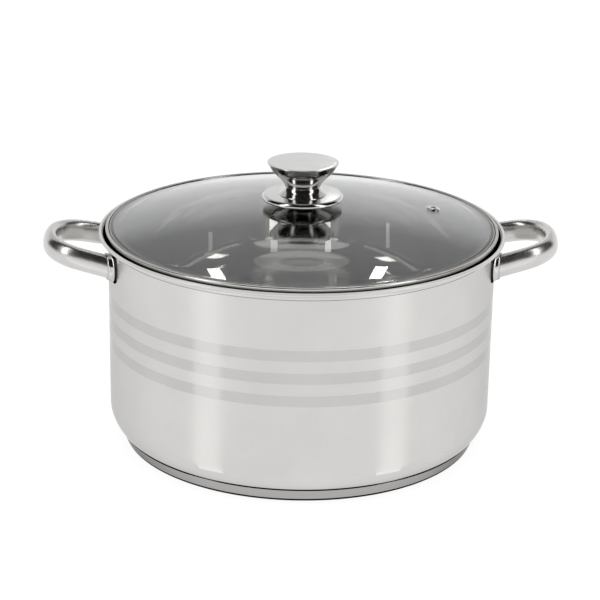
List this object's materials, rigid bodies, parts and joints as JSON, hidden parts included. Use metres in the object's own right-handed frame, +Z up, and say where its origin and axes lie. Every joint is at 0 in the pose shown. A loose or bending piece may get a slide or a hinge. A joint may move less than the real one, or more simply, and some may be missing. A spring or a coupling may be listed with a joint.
{
  "type": "stock pot",
  "caption": "Low wide stainless stock pot with a flared lip, two hollow tube loop handles, a capsule base and a lift-off domed glass lid with steel rim, steam vent and waisted knob.",
  "frame": {"origin": "centre of the underside of the base, on the surface the pot stands on", "axes": "+Z up, +X through the two side handles, the front faces -Y"},
  "size_m": [0.3996, 0.3142, 0.2213],
  "materials": {
    "mirror_steel": "mirror polished stainless with three satin bands",
    "base_steel": "turned stainless",
    "core_aluminium": "sealed in",
    "handle_steel": "mirror polished stainless",
    "trim_steel": "mirror polished stainless",
    "knob_steel": "mirror polished stainless",
    "fastener_steel": "plain stainless",
    "insert_brass": "machined",
    "lid_glass": "clear tempered glass",
    "gasket_rubber": "matt silicone"
  },
  "bodies": {
    "pot": {"pot_body": "mirror_steel", "core_disc": "core_aluminium", "base_cap": "base_steel", "left_handle_tube": "handle_steel", "right_handle_tube": "handle_steel", "left_front_ferrule": "handle_steel", "left_rear_ferrule": "handle_steel", "right_front_ferrule": "handle_steel", "right_rear_ferrule": "handle_steel"},
    "lid": {"lid_glass": "lid_glass", "lid_rim_band": "trim_steel", "vent_grommet": "trim_steel", "knob_base_dish": "knob_steel", "knob_body": "knob_steel", "knob_top_cap": "knob_steel", "knob_insert": "insert_brass", "knob_screw": "fastener_steel", "under_cup": "trim_steel", "lock_washer": "fastener_steel", "gasket_upper": "gasket_rubber", "gasket_lower": "gasket_rubber"}
  },
  "joints": [
    {"name": "lid_lift", "type": "slide", "parent": "pot", "child": "lid", "axis": [0, 0, 1], "range_m": [0, 0.15]}
  ]
}
